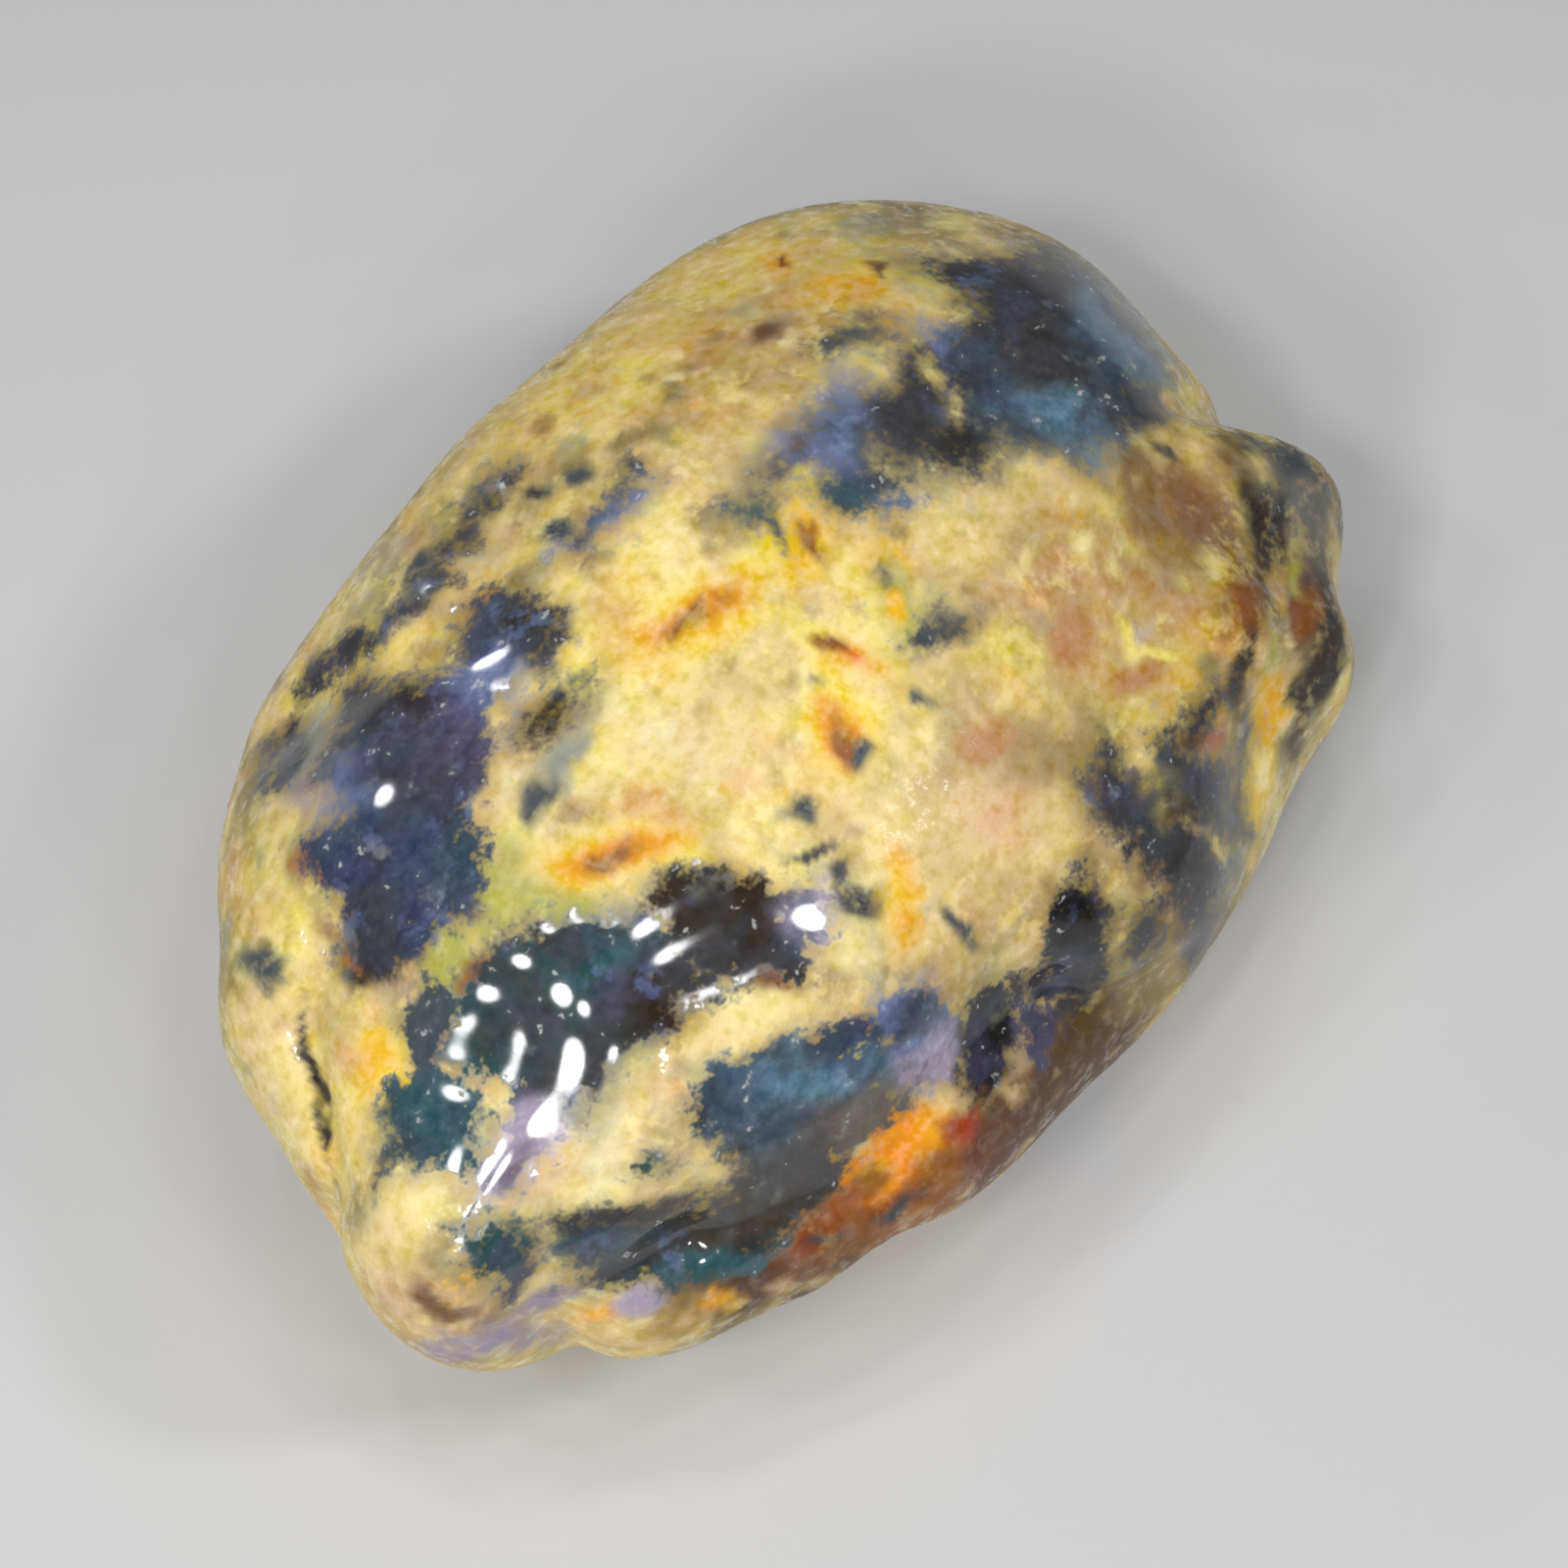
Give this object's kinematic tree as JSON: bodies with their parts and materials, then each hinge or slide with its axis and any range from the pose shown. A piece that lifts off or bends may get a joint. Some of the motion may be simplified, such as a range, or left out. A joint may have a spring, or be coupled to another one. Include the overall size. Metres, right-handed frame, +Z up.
{
  "type": "rough amber",
  "caption": "Loose nodule of rough amber: a lopsided pebble with a cloudy crust, clear dark windows, pits and furrows, lying on a worn flat",
  "frame": {"origin": "on the resting plane, under the middle of the stone's bounding box", "axes": "+X along the stone's length, +Y across it, +Z up from the worn flat that it rests on"},
  "size_m": [0.0436, 0.0284, 0.0186],
  "materials": {
    "amber": "naturally worn, waxy to glossy, cloudy cream crust with clear dark windows"
  },
  "bodies": {
    "root": {"amber_nodule": "amber"}
  },
  "joints": []
}
